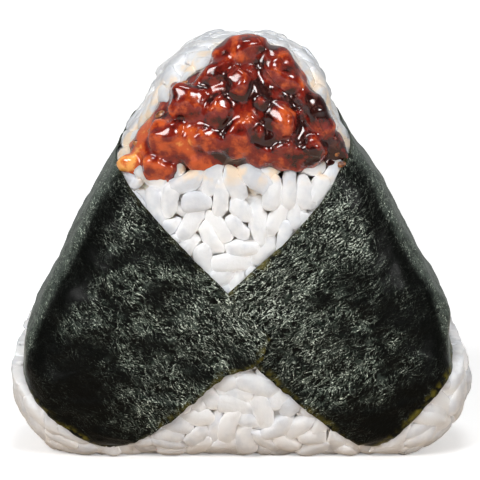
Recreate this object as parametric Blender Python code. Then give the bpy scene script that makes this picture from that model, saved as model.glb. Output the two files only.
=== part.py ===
"""An onigiri: a hand-pressed triangle of rice with a glazed filling set into its top front, wrapped in one strip of
nori that runs across the back, folds over both slanted sides and crosses on the front.

The frame is in metres. +Z is up, the front faces -Y, and the origin is under the middle of the whole, on the floor.
"""

import math

import bmesh
import bpy
import numpy as np
from mathutils import Vector, noise
from mathutils.kdtree import KDTree

# Rice body. Seen from the front its outline is a string drawn tight round four discs, given as (x, z, radius), with
# z before the floor flattens the swell below. Its section in depth swells like a pressed pillow.
FLOOR_CUT = 0.0007
RICE_DISCS = (
    (-0.0278, 0.0139, 0.0138),
    (0.0284, 0.0129, 0.0128),
    (0.0019, 0.0622, 0.0145),
    (-0.0022, 0.0616, 0.0146),
)
# The slanted sides swell out a little past that string: (direction of the swelling's top from MIDDLE in degrees, half
# its spread, height).
SIDE_SWELLS = (
    (157, 40, 0.0012),
    (188, 20, 0.0009),
    (126, 12, 0.0007),
    (-2, 34, 0.0023),
    (-4, 9, 0.0005),
    (32, 26, 0.0015),
    (60, 9, -0.0006),
    (71, 9, 0.0008),
)
HALF_THICKNESS = 0.0190
SQUARENESS = 4.6  # exponent of the section: 2 is an ellipse, larger is boxier
MIDDLE = Vector((0.0, 0.0, 0.0308))
UNEVENNESS = 0.00045
UNEVEN_SIZE = 0.0075
BODY_MESH = 14

# Filling: a heap of glazed chunks in a hollow, wider than it is high.
FILLING_DISCS = (
    (-0.0170, 0.0551, 0.0040),
    (0.0002, 0.0556, 0.0062),
    (0.0150, 0.0553, 0.0041),
    (0.0094, 0.0640, 0.0052),
    (0.0004, 0.0694, 0.0062),
    (-0.0092, 0.0648, 0.0046),
)
FILLING_MIDDLE = Vector((-0.0010, -0.0105, 0.0602))
FILLING_FRONT_BULGE = 0.0108
FILLING_ROOT_DEPTH = 0.0060
FILLING_SQUARENESS = 2.6
FILLING_GAP = 0.00035
FILLING_MESH = 9
CHUNK_RELIEF = 0.0015
CHUNK_SIZE = 0.0062
RELIEF_STARTS = 0.0006  # chunks stand out only this far clear of the rice
RELIEF_IS_FULL = 0.0030

# Nori: a strip of about a fifth of a sheet. A place on it is (along, across): along runs from the middle of the back
# to either end, across from its upper edge.
NORI_WIDTH = 0.0394  # at the middle of the back
NORI_WIDER = 0.0010  # its +X end is wider by this, and its -X end narrower
NORI_THICKNESS = 0.0005
NORI_GAP = 0.0005
NORI_MESH = 0.0032
NORI_PRESSES_IN = 0.0007
NORI_TUCK = 0.0013  # where it turns round a side, its lower edge presses in by this much more
TUCK_FROM, TUCK_TO = 0.82, 1.0  # shares of the width
TUCK_FADES_FROM, TUCK_FADES_TO = 0.0115, 0.0178  # distance from the middle plane
PRESS_FADES_FROM, PRESS_FADES_TO = 0.0025, 0.0060  # distance from the nearest point of the strip's grid
BACK_EDGE_HEIGHT = 0.0606  # upper edge at the middle of the back
LAP_LIFT = NORI_THICKNESS + 0.0006  # the -X flap lies on the +X flap by this much more
LAP_FROM_X, LAP_TO_X = -0.0190, -0.0120
NORI_FLOOR_CLEARANCE = 0.0004
PROFILE_STEPS = 400
BEND_LENGTH = 0.016
WIDENS_FROM, WIDENS_TO = 0.002, 0.016  # path past the bend over which a flap grows wider
HOLLOW_LEANS = 0.65  # under 1 the hollow of the upper edge lies nearer the bend
TONGUE_AT, TONGUE_REACH = 0.0052, 0.0068  # across the strip
# Each flap, with angles in degrees: how steeply it rises from the middle of the back, where its upper edge bends (path
# from the middle of the slanted side), its slope after that, its length from the middle of the back, how far its end is
# out of square, how much wider it grows past the bend and narrower again at its end, how far its upper edge hollows
# between the bend and the end, and how far its end bulges in a tongue.
FLAPS = {
    -1: {
        "rise": 6.6, "bend_at": 0.014, "slope": -20.0, "length": 0.0886,
        "skew": 1.8, "widens": 0.0022, "narrows": 0.0026, "hollow": 0.0006, "tongue": 0.0024,
    },
    1: {
        "rise": 10.2, "bend_at": 0.016, "slope": -21.6, "length": 0.0873,
        "skew": 0.6, "widens": 0.0007, "narrows": 0.0, "hollow": 0.0018, "tongue": 0.0,
    },
}

MATERIALS = {
    "rice": ((0.80, 0.79, 0.76), 0.45),
    "nori": ((0.012, 0.018, 0.013), 0.60),
    "filling": ((0.26, 0.035, 0.012), 0.18),
}
OUTLINE_STEPS = 4000
RAY_STEPS = 1440


def clear_scene():
    for obj in list(bpy.data.objects):
        bpy.data.objects.remove(obj, do_unlink=True)


def reach_table(discs, middle):
    """(angles, distances) from middle to the tight outline round the discs, angles rising from -pi to pi."""
    turn = np.linspace(0, 2 * math.pi, OUTLINE_STEPS, endpoint=False)
    normals = np.stack([np.cos(turn), np.sin(turn)], axis=1)
    centres = np.array([(x, z) for x, z, _ in discs]) - (middle.x, middle.z)
    radii = np.array([radius for _, _, radius in discs])
    outermost = (normals @ centres.T + radii).argmax(axis=1)
    corners = centres[outermost] + radii[outermost, None] * normals
    corners = np.vstack([corners, corners[:1]])
    gone = np.concatenate([[0.0], np.cumsum(np.linalg.norm(np.diff(corners, axis=0), axis=1))])
    evenly = np.linspace(0, gone[-1], OUTLINE_STEPS, endpoint=False)
    x = np.interp(evenly, gone, corners[:, 0])
    z = np.interp(evenly, gone, corners[:, 1])
    angle = np.arctan2(z, x)
    order = np.argsort(angle)
    rays = np.linspace(-math.pi, math.pi, RAY_STEPS)
    return rays, np.interp(rays, angle[order], np.hypot(x, z)[order], period=2 * math.pi)


def swollen(table, swells):
    """The table with a smooth swelling at each (direction, half spread, height)."""
    rays, reach = table
    for direction, spread, height in swells:
        off = (rays - math.radians(direction) + math.pi) % (2 * math.pi) - math.pi
        reach = reach + height * np.cos(math.pi / 2 * np.clip(off / math.radians(spread), -1, 1)) ** 2
    return rays, reach


FLAT_SIDED_REACH = reach_table([(x, z - FLOOR_CUT, radius) for x, z, radius in RICE_DISCS], MIDDLE)
RICE_REACH = swollen(FLAT_SIDED_REACH, SIDE_SWELLS)
FILLING_REACH = reach_table(FILLING_DISCS, FILLING_MIDDLE)


def body_gauge(p):
    """1 on the ideal rice surface, less inside, more outside. p is an array of points from MIDDLE."""
    share = np.hypot(p[:, 0], p[:, 2]) / np.interp(np.arctan2(p[:, 2], p[:, 0]), *RICE_REACH)
    return (share**SQUARENESS + np.abs(p[:, 1] / HALF_THICKNESS) ** SQUARENESS) ** (1 / SQUARENESS)


def filling_gauge(p):
    """As body_gauge, for the filling without its chunks. p is from FILLING_MIDDLE."""
    share = np.hypot(p[:, 0], p[:, 2]) / np.interp(np.arctan2(p[:, 2], p[:, 0]), *FILLING_REACH)
    depth = np.where(p[:, 1] < 0, FILLING_FRONT_BULGE, FILLING_ROOT_DEPTH)
    return (share**FILLING_SQUARENESS + np.abs(p[:, 1] / depth) ** FILLING_SQUARENESS) ** (1 / FILLING_SQUARENESS)


def gauge_slope(gauge, p, step=1e-4):
    """The gauge's gradient, by central differences."""
    columns = []
    for axis in range(3):
        shift = np.zeros(3)
        shift[axis] = step
        columns.append((gauge(p + shift) - gauge(p - shift)) / (2 * step))
    return np.stack(columns, axis=1)


def unit(v):
    return v / np.linalg.norm(v, axis=1, keepdims=True)


def uneven(p):
    """How far the pressed rice stands out at these points, a smooth bumpiness of a few millimetres."""
    return UNEVENNESS * np.array([noise.noise(Vector(q) / UNEVEN_SIZE) for q in p])


def rice_surface(p, above=0.0):
    """Drops points near the body onto the uneven rice surface, then lifts them by above along its normal."""
    for _ in range(4):
        slope = gauge_slope(body_gauge, p)
        p = p - slope * ((body_gauge(p) - 1) / (slope**2).sum(axis=1))[:, None]
    normal = unit(gauge_slope(body_gauge, p))
    lift = np.asarray(above) + uneven(p)
    return p + normal * lift[:, None]


def mesh_object(name, vertices, faces, material):
    mesh = bpy.data.meshes.new(name)
    mesh.from_pydata([tuple(v) for v in vertices], [], faces)
    mesh.validate()
    mesh.materials.append(material)
    mesh.shade_smooth()
    obj = bpy.data.objects.new(name, mesh)
    bpy.context.scene.collection.objects.link(obj)
    return obj


def make_material(name):
    colour, roughness = MATERIALS[name]
    material = bpy.data.materials.new(name)
    material.use_nodes = True
    shader = material.node_tree.nodes["Principled BSDF"]
    shader.inputs["Base Color"].default_value = (*colour, 1)
    shader.inputs["Roughness"].default_value = roughness
    return material


def round_mesh(frequency):
    """Points and triangles of a unit icosahedron with each edge cut into frequency parts and pushed out round."""
    made = bmesh.new()
    bmesh.ops.create_icosphere(made, subdivisions=1, radius=1.0)
    bmesh.ops.subdivide_edges(made, edges=made.edges[:], cuts=frequency - 1, use_grid_fill=True)
    bmesh.ops.triangulate(made, faces=made.faces[:])
    points = unit(np.array([v.co for v in made.verts]))
    faces = [tuple(v.index for v in f.verts) for f in made.faces]
    made.free()
    return points, faces


def make_rice(material):
    directions, faces = round_mesh(BODY_MESH)
    across = max(RICE_REACH[1])
    start = directions * np.array([across, HALF_THICKNESS, across])
    points = start / body_gauge(start)[:, None]
    points = rice_surface(points, -pressed_in(points)) + np.array(MIDDLE)
    points[:, 2] = np.maximum(points[:, 2], 0.0)
    return mesh_object("rice_body", points, faces, material)


def filling_points(grow, relief):
    """The filling's surface, grown by grow, with its chunks standing out where it is clear of the rice."""
    directions, faces = round_mesh(FILLING_MESH)
    across = max(FILLING_REACH[1])
    start = directions * np.array([across, FILLING_FRONT_BULGE, across])
    points = start / filling_gauge(start)[:, None]
    normal = unit(gauge_slope(filling_gauge, points))
    from_body = points + np.array(FILLING_MIDDLE - MIDDLE)
    clear = (body_gauge(from_body) - 1) * HALF_THICKNESS
    ramp = np.clip((clear - RELIEF_STARTS) / (RELIEF_IS_FULL - RELIEF_STARTS), 0, 1)
    chunks = np.array([noise.noise(Vector(q) / CHUNK_SIZE) for q in points])
    lift = grow + relief * ramp * chunks
    return points + normal * lift[:, None] + np.array(FILLING_MIDDLE), faces


def make_filling(material):
    points, faces = filling_points(0.0, CHUNK_RELIEF)
    return mesh_object("filling", points, faces, material)


def cut_hollow(rice, material):
    """Cuts the hollow that holds the filling out of the rice."""
    points, faces = filling_points(FILLING_GAP, 0.0)
    cutter = mesh_object("hollow_cutter", points, faces, material)
    cutter.hide_render = True
    cutter.display_type = "WIRE"
    cut = rice.modifiers.new("hollow", "BOOLEAN")
    cut.operation = "DIFFERENCE"
    cut.solver = "EXACT"
    cut.object = cutter


def slanted_side(side):
    """(angle of its outward normal, distance from MIDDLE) of the flat of one slanted side, side being its sign in x."""
    low = RICE_DISCS[0 if side < 0 else 1]
    high = RICE_DISCS[3 if side < 0 else 2]
    rise_x, rise_z = high[0] - low[0], high[1] - low[1]
    normal = math.atan2(rise_z, rise_x) - side * math.acos((low[2] - high[2]) / math.hypot(rise_x, rise_z))
    height = low[1] - FLOOR_CUT - MIDDLE.z
    return normal, low[0] * math.cos(normal) + height * math.sin(normal) + low[2]


def side_profile(side):
    """(path, out, depth) round half a section across a slanted side, from the middle of the side to the front face.

    path is the distance gone, out the distance from the body's middle towards the side, depth the distance from the
    middle plane. Past the front face's middle it goes on straight.
    """
    reach = slanted_side(side)[1]
    turn = np.linspace(0, math.pi / 2, PROFILE_STEPS)
    power = 2 / SQUARENESS
    out = reach * np.cos(turn) ** power
    depth = HALF_THICKNESS * np.sin(turn) ** power
    out[-1] = 0.0
    path = np.concatenate([[0.0], np.cumsum(np.hypot(np.diff(out), np.diff(depth)))])
    return np.append(path, path[-1] + reach), np.append(out, -reach), np.append(depth, HALF_THICKNESS)


def on_side(path, up, side):
    """Points from MIDDLE: path goes round a slanted side, positive to the front, and up goes up its slope."""
    ways, outs, depths = side_profile(side)
    out = np.interp(np.abs(path), ways, outs)
    depth = -np.sign(path) * np.interp(np.abs(path), ways, depths)
    normal = slanted_side(side)[0]
    upward = normal + side * math.pi / 2
    x = out * math.cos(normal) + up * math.cos(upward)
    z = out * math.sin(normal) + up * math.sin(upward)
    return np.stack([x, depth, z], axis=1)


def smooth_ramp(x, start, end):
    share = np.clip((x - start) / (end - start), 0, 1)
    return share * share * (3 - 2 * share)


def strip_place(along, across, side):
    """(path, up) of a place on one half of the strip, in the plane that its slanted side unrolls to."""
    flap = FLAPS[side]
    lean = slanted_side(side)[0] if side > 0 else math.pi - slanted_side(side)[0]
    half_way = side_profile(side)[0][-2]
    edge_z = BACK_EDGE_HEIGHT - MIDDLE.z
    start_path = edge_z * math.sin(lean) - half_way
    start_up = edge_z * math.cos(lean)
    first = math.radians(flap["rise"]) - lean
    slope = math.radians(flap["slope"])
    to_bend = (flap["bend_at"] - start_path) / math.cos(first)
    gone = along * flap["length"]
    before = np.minimum(gone, to_bend)
    after = np.maximum(gone - to_bend, 0.0)
    path = start_path + before * math.cos(first) + after * math.cos(slope)
    up = start_up + before * math.sin(first) + after * math.sin(slope)
    heading = first + (slope - first) * smooth_ramp(gone - to_bend, -BEND_LENGTH / 2, BEND_LENGTH / 2)
    to_end = smooth_ramp(gone, to_bend, flap["length"])
    down = heading - math.pi / 2 - math.radians(flap["skew"]) * to_end**3
    wider = side * NORI_WIDER * along - flap["narrows"] * to_end**3
    wider = wider + flap["widens"] * smooth_ramp(gone - to_bend, WIDENS_FROM, WIDENS_TO)
    past_bend = np.clip((gone - to_bend) / (flap["length"] - to_bend), 0, 1)
    hollow = flap["hollow"] * np.sin(math.pi * past_bend**HOLLOW_LEANS) ** 2
    from_tongue = np.clip((across - TONGUE_AT) / TONGUE_REACH, -1, 1)
    longer = flap["tongue"] * to_end**3 * np.cos(math.pi / 2 * from_tongue) ** 2
    path = path + longer * math.cos(slope)
    up = up + longer * math.sin(slope)
    across = hollow + across * (1 + (wider - hollow) / NORI_WIDTH)
    return path + across * np.cos(down), up + across * np.sin(down)


def strip_grid():
    """The strip's points laid near the body, row by row from the -X end to the +X end, and each one's row."""
    half_rows = round(FLAPS[-1]["length"] / NORI_MESH)
    columns = round(NORI_WIDTH / NORI_MESH) + 1
    across = np.linspace(0, NORI_WIDTH, columns)
    rows = []
    for k in range(-half_rows, half_rows + 1):
        along = np.full(columns, abs(k) / half_rows)
        sides = (-1, 1) if k == 0 else (int(math.copysign(1, k)),)
        rows.append(sum(on_side(*strip_place(along, across, side), side) for side in sides) / len(sides))
    return np.concatenate(rows), np.repeat(np.arange(-half_rows, half_rows + 1), columns), columns


def strip_press():
    """How far each point of the strip's grid presses the rice in."""
    points, _, columns = strip_grid()
    share = np.tile(np.linspace(0, 1, columns), len(points) // columns)
    turning = 1 - smooth_ramp(np.abs(points[:, 1]), TUCK_FADES_FROM, TUCK_FADES_TO)
    return NORI_PRESSES_IN + NORI_TUCK * smooth_ramp(share, TUCK_FROM, TUCK_TO) * turning


def nori_layer(above):
    """The strip's grid of points this far above the rice, which it presses in."""
    points, row, _ = strip_grid()
    lap = smooth_ramp(points[:, 0], LAP_FROM_X, LAP_TO_X) * (row < 0) * (points[:, 1] < 0)
    placed = rice_surface(points, above - strip_press() + LAP_LIFT * lap) + np.array(MIDDLE)
    placed[:, 2] = np.maximum(placed[:, 2], NORI_FLOOR_CLEARANCE + above - NORI_GAP)
    return placed


def pressed_in(p):
    """How far the strip presses the rice in at these points of its surface, fading out past the strip's edges."""
    grid = rice_surface(strip_grid()[0])
    tree = KDTree(len(grid))
    for k, point in enumerate(grid):
        tree.insert(point, k)
    tree.balance()
    found = [tree.find(point) for point in p]
    away = np.array([distance for _, _, distance in found])
    press = strip_press()[[index for _, index, _ in found]]
    return press * (1 - smooth_ramp(away, PRESS_FADES_FROM, PRESS_FADES_TO))


def make_nori(material):
    inner = nori_layer(NORI_GAP)
    outer = nori_layer(NORI_GAP + NORI_THICKNESS)
    count = len(inner)
    columns = strip_grid()[2]
    rows = count // columns
    faces = []
    for r in range(rows - 1):
        for c in range(columns - 1):
            a = r * columns + c
            b, d, e = a + 1, a + columns, a + columns + 1
            faces.append((a, b, e, d))
            faces.append((a + count, d + count, e + count, b + count))
    border = list(range(columns))
    border += [r * columns + columns - 1 for r in range(1, rows)]
    border += [(rows - 1) * columns + c for c in range(columns - 2, -1, -1)]
    border += [r * columns for r in range(rows - 2, 0, -1)]
    for a, b in zip(border, border[1:] + border[:1]):
        faces.append((a, a + count, b + count, b))
    return mesh_object("nori_strip", np.concatenate([inner, outer]), faces, material)


def centre_on_base(objects):
    """Moves everything so that the origin is under the middle of the whole box, on the floor."""
    bpy.context.view_layer.update()
    corners = [obj.matrix_world @ v.co for obj in objects for v in obj.data.vertices]
    low = Vector([min(c[k] for c in corners) for k in range(3)])
    high = Vector([max(c[k] for c in corners) for k in range(3)])
    middle = Vector(((low.x + high.x) / 2, (low.y + high.y) / 2, low.z))
    for obj in bpy.data.objects:
        obj.location = -middle
    print("moved by, mm:", [round(-1000 * c, 3) for c in middle])


def main():
    clear_scene()
    rice = make_rice(make_material("rice"))
    filling_material = make_material("filling")
    filling = make_filling(filling_material)
    cut_hollow(rice, filling_material)
    nori = make_nori(make_material("nori"))
    centre_on_base([rice, filling, nori])


main()
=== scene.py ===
"""The looks of the onigiri, built round its CAD frame: cooked grains of rice over a core, a heap of glazed
chunks in the hollow of its front, and a sheet of nori folded round it.

Everything is in metres in the frame's axes: +Z is up, and the front faces -Y.
"""

import math

import bmesh
import bpy
import numpy as np
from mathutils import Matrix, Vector, noise
from mathutils.kdtree import KDTree


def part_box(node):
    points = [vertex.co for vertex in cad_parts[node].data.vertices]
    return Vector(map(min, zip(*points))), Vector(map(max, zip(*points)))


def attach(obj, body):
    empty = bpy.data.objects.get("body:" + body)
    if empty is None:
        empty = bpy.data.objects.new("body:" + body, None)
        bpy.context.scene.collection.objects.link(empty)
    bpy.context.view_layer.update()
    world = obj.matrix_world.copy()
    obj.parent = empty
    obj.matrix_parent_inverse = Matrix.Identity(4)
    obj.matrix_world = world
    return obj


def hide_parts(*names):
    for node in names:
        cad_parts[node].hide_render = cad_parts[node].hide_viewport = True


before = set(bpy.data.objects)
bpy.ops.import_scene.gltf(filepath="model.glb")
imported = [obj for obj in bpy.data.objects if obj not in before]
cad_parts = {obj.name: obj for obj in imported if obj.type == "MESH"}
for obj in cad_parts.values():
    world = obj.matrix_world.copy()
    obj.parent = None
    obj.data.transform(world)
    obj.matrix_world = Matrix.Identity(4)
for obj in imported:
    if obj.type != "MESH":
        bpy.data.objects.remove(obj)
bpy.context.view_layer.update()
FILLING_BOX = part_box("filling")
SEED = 11

# Rice body, as the CAD has it: a string drawn tight round four discs (x, z, radius), and a section like a
# pressed pillow. MIDDLE includes the CAD's move that puts its box over the origin.
CAD_MOVE = Vector((0.000019, 0.001216, 0.0))
FLOOR_CUT = 0.0007
RICE_DISCS = (
    (-0.0278, 0.0139, 0.0138),
    (0.0284, 0.0129, 0.0128),
    (0.0019, 0.0622, 0.0145),
    (-0.0022, 0.0616, 0.0146),
)
# Each slanted side swells out a little: (direction of its fullest place from the middle in degrees, half its
# spread, how far).
SIDE_SWELLS = (
    (157, 40, 0.0012),
    (188, 20, 0.0009),
    (126, 12, 0.0007),
    (-2, 34, 0.0023),
    (-4, 9, 0.0005),
    (32, 26, 0.0015),
    (60, 9, -0.0006),
    (71, 9, 0.0008),
)
HALF_THICKNESS = 0.0190
SQUARENESS = 4.6
CAD_MIDDLE = Vector((0.0, 0.0, 0.0308))
MIDDLE = CAD_MIDDLE + CAD_MOVE
UNEVENNESS = 0.00045
UNEVEN_SIZE = 0.0075

# Filling, as the CAD has it.
FILLING_DISCS = (
    (-0.0170, 0.0551, 0.0040),
    (0.0002, 0.0556, 0.0062),
    (0.0150, 0.0553, 0.0041),
    (0.0094, 0.0640, 0.0052),
    (0.0004, 0.0694, 0.0062),
    (-0.0092, 0.0648, 0.0046),
)
CAD_FILLING_MIDDLE = Vector((-0.0010, -0.0105, 0.0602))
FILLING_MIDDLE = CAD_FILLING_MIDDLE + CAD_MOVE
FILLING_FRONT_BULGE = 0.0108
FILLING_ROOT_DEPTH = 0.0060
FILLING_SQUARENESS = 2.6

# Nori strip, as the CAD has it, but with the real sheet's thickness.
NORI_WIDTH = 0.0394
NORI_WIDER = 0.0010
BACK_EDGE_HEIGHT = 0.0606
TUCK = 0.0020
TUCK_FROM, TUCK_TO = 0.82, 1.0
SIDE_ENDS_FROM, SIDE_ENDS_TO = 0.0115, 0.0178
LAP_LIFT = 0.0008
LAP_FROM_X, LAP_TO_X = -0.0190, -0.0120
FLOOR_CLEARANCE = 0.0003
PROFILE_STEPS = 400
BEND_LENGTH = 0.016
WIDENS_FROM, WIDENS_TO = 0.002, 0.016  # path past the bend over which a flap grows wider
HALVES_MERGE = 0.14  # share of a half over which it runs into the other one on the back
HOLLOW_LEANS = 0.65  # under 1 the hollow of the upper edge lies nearer the bend
TONGUE_AT, TONGUE_REACH = 0.0052, 0.0068  # across the strip
FLAPS = {
    -1: {
        "rise": 6.6, "bend_at": 0.014, "slope": -20.0, "length": 0.0886,
        "skew": 1.8, "widens": 0.0022, "narrows": 0.0026, "hollow": 0.0006, "tongue": 0.0024,
    },
    1: {
        "rise": 10.2, "bend_at": 0.016, "slope": -21.6, "length": 0.0873,
        "skew": 0.6, "widens": 0.0007, "narrows": 0.0, "hollow": 0.0018, "tongue": 0.0,
    },
}
SHEET = 0.00022
SHEET_LIES = -0.00005  # its inner face, from the rice's ideal surface
DEEPEST_LIES = SHEET_LIES - 0.0006
NORI_MESH = 0.00056
NORI_FRAY = 0.00032

# Grains: cooked short-grain rice.
GRAIN_LENGTH = 0.0078
GRAIN_WIDTH = 0.0036
GRAIN_THICKNESS = 0.0033
TOP_GRAIN = ((-0.97, -0.82, -0.58, -0.30, 0.0, 0.30, 0.58, 0.82, 0.97), 12)  # rings along it, points in each
LOWER_GRAIN = ((-0.95, -0.70, -0.25, 0.25, 0.70, 0.95), 8)
GRAIN_KINDS = 24
WHOLE_KINDS = 21  # the rest are broken grains
BROKEN_LENGTH = 0.74
SIZE_SPREAD = ((0.88, 0.90, 0.92), (1.08, 1.10, 1.10))  # least and most share of each of a kind's sizes
BENDS = ((2, 0.00045), (1, 0.00040))  # axis, how far the tips bend that way at most
FACETS = 5
FACET_FROM, FACET_TO = 0.76, 0.92  # shares of the reach at which facets are pressed
MOST_PRESSED = 0.0009
NEIGHBOURS = 12
MOULDED_FROM, MOULDED_TO = -0.0003, 0.50
END_REACH = 0.0021  # from a grain's middle to the middles of the balls at its ends
BALL = 0.00126
TOP_SPACING = 0.00270
LOWER_SPACING = 0.0036
TOP_HEIGHT = -0.0014  # middle of a grain in the top layer, from the ideal surface
LOWER_HEIGHT = -0.0031
UNDER_NORI = 0.0024  # grains reach this far in under the sheet
TOP_CLEAR, LOWER_CLEAR = 0.0006, 0.0020  # from the ideal filling
SPOTS = 9000
SPOTS_MESH = 24
TILT = 0.16
ROLL = 0.35
HEIGHT_SPREAD = 0.0004
LIP_HELD = 0.8
SHEET_CLEAR = 0.0001  # between a grain and the sheet's inner face
PACKING_STEPS = 90
CORE_DEPTH = 0.0030
CORE_MESH = 44

# Layers of noise as (height, size of the bumps, shift of the noise).
GRAIN_SWELL = ((0.00034, 0.0024, 0.0), (0.00010, 0.0010, 0.0))
CORE_LUMPS = ((0.0006, 0.0024, 7.0),)
EDGE_WANDER = ((0.9, 0.0065, 3.1), (0.55, 0.0011, 9.7))
END_WANDER = ((1.0, 0.0012, 5.3),)
SHOWS_THROUGH = ((0.00026, 0.0036, 1.0), (0.00009, 0.0014, 2.0))
CREASES = ((1.0, 0.0042, 4.0),)
EDGE_WAVES = ((0.6, 0.0050, 6.0),)
RAGGED_FRINGE = ((0.0007, 0.0011, 31.0), (0.0009, 0.0042, 32.0))
CHUNK_LUMPS = ((0.00055, 0.0028, 0.0),)

OUTLINE_STEPS = 4000
RAY_STEPS = 1440


# ---------------------------------------------------------------- the CAD's own surfaces


def reach_table(discs, middle):
    """(angles, distances) from middle to the tight outline round the discs, angles rising from -pi to pi."""
    turn = np.linspace(0, 2 * math.pi, OUTLINE_STEPS, endpoint=False)
    normals = np.stack([np.cos(turn), np.sin(turn)], axis=1)
    centres = np.array([(x, z) for x, z, _ in discs]) - (middle.x, middle.z)
    radii = np.array([radius for _, _, radius in discs])
    outermost = (normals @ centres.T + radii).argmax(axis=1)
    corners = centres[outermost] + radii[outermost, None] * normals
    corners = np.vstack([corners, corners[:1]])
    gone = np.concatenate([[0.0], np.cumsum(np.linalg.norm(np.diff(corners, axis=0), axis=1))])
    evenly = np.linspace(0, gone[-1], OUTLINE_STEPS, endpoint=False)
    x = np.interp(evenly, gone, corners[:, 0])
    z = np.interp(evenly, gone, corners[:, 1])
    angle = np.arctan2(z, x)
    order = np.argsort(angle)
    rays = np.linspace(-math.pi, math.pi, RAY_STEPS)
    return rays, np.interp(rays, angle[order], np.hypot(x, z)[order], period=2 * math.pi)


def swollen(table, swells):
    """The table with a smooth swelling at each (direction, half spread, height)."""
    rays, reach = table
    for direction, spread, rise in swells:
        off = (rays - math.radians(direction) + math.pi) % (2 * math.pi) - math.pi
        reach = reach + rise * np.cos(math.pi / 2 * np.clip(off / math.radians(spread), -1, 1)) ** 2
    return rays, reach


RICE_REACH = swollen(
    reach_table([(x, z - FLOOR_CUT, radius) for x, z, radius in RICE_DISCS], CAD_MIDDLE), SIDE_SWELLS
)
FILLING_REACH = reach_table(FILLING_DISCS, CAD_FILLING_MIDDLE)


def outline_gauge(p, reach, depth, squareness):
    """1 on a surface with this outline and depth, less inside, more outside. p is from its middle."""
    share = np.hypot(p[:, 0], p[:, 2]) / np.interp(np.arctan2(p[:, 2], p[:, 0]), *reach)
    return (share**squareness + np.abs(p[:, 1] / depth) ** squareness) ** (1 / squareness)


def body_gauge(p):
    """The gauge of the ideal rice surface."""
    return outline_gauge(p, RICE_REACH, HALF_THICKNESS, SQUARENESS)


def filling_gauge(p):
    """The gauge of the filling without its chunks."""
    depth = np.where(p[:, 1] < 0, FILLING_FRONT_BULGE, FILLING_ROOT_DEPTH)
    return outline_gauge(p, FILLING_REACH, depth, FILLING_SQUARENESS)


def gauge_slope(gauge, p, step=1e-4):
    """The gauge's gradient, by central differences."""
    columns = []
    for axis in range(3):
        shift = np.zeros(3)
        shift[axis] = step
        columns.append((gauge(p + shift) - gauge(p - shift)) / (2 * step))
    return np.stack(columns, axis=1)


def unit(v):
    return v / np.maximum(np.linalg.norm(v, axis=-1, keepdims=True), 1e-12)


def height_over(gauge, p):
    """(height, normal): how far points lie outside a gauge's surface, about, and which way is out."""
    slope = gauge_slope(gauge, p)
    size = np.linalg.norm(slope, axis=1)
    return (gauge(p) - 1) / size, slope / size[:, None]


def over_rice(p):
    return height_over(body_gauge, p - np.array(MIDDLE))


def over_filling(p):
    return height_over(filling_gauge, p - np.array(FILLING_MIDDLE))


def noise_at(p, size, offset=0.0):
    """Smooth noise of about -1 to 1 at each point, its bumps this size."""
    shift = Vector((offset, offset * 1.7, offset * -2.3))
    return np.array([noise.noise(Vector(q) / size + shift) for q in p])


def relief(p, layers, offset=0.0):
    """The sum of these layers of noise at each point."""
    return sum(height * noise_at(p, size, offset + shift) for height, size, shift in layers)


def on_rice(p):
    """(points, normals) of the ideal rice surface nearest to points from MIDDLE, in the frame."""
    for _ in range(4):
        height, normal = height_over(body_gauge, p)
        p = p - normal * height[:, None]
    return p + np.array(MIDDLE), height_over(body_gauge, p)[1]


def uneven(p):
    """The CAD's smooth bumpiness of the pressed rice, at points of the frame."""
    return UNEVENNESS * noise_at(p - np.array(MIDDLE), UNEVEN_SIZE)


def smooth_ramp(x, start, end):
    share = np.clip((x - start) / (end - start), 0, 1)
    return share * share * (3 - 2 * share)


def slanted_side(side):
    """(angle of its outward normal, distance from MIDDLE) of a slanted side's flat. side is its sign in x."""
    low = RICE_DISCS[0 if side < 0 else 1]
    high = RICE_DISCS[3 if side < 0 else 2]
    rise_x, rise_z = high[0] - low[0], high[1] - low[1]
    normal = math.atan2(rise_z, rise_x) - side * math.acos((low[2] - high[2]) / math.hypot(rise_x, rise_z))
    height = low[1] - FLOOR_CUT - CAD_MIDDLE.z
    return normal, low[0] * math.cos(normal) + height * math.sin(normal) + low[2]


def side_profile(side):
    """(path, out, depth) round half a section across a slanted side, from its middle to the front face."""
    reach = slanted_side(side)[1]
    turn = np.linspace(0, math.pi / 2, PROFILE_STEPS)
    power = 2 / SQUARENESS
    out = reach * np.cos(turn) ** power
    depth = HALF_THICKNESS * np.sin(turn) ** power
    out[-1] = 0.0
    path = np.concatenate([[0.0], np.cumsum(np.hypot(np.diff(out), np.diff(depth)))])
    return np.append(path, path[-1] + reach), np.append(out, -reach), np.append(depth, HALF_THICKNESS)


def on_side(path, up, side):
    """Points from MIDDLE: path goes round a slanted side, positive to the front, and up goes up its slope."""
    ways, outs, depths = side_profile(side)
    out = np.interp(np.abs(path), ways, outs)
    depth = -np.sign(path) * np.interp(np.abs(path), ways, depths)
    normal = slanted_side(side)[0]
    upward = normal + side * math.pi / 2
    x = out * math.cos(normal) + up * math.cos(upward)
    z = out * math.sin(normal) + up * math.sin(upward)
    return np.stack([x, depth, z], axis=1)


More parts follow.
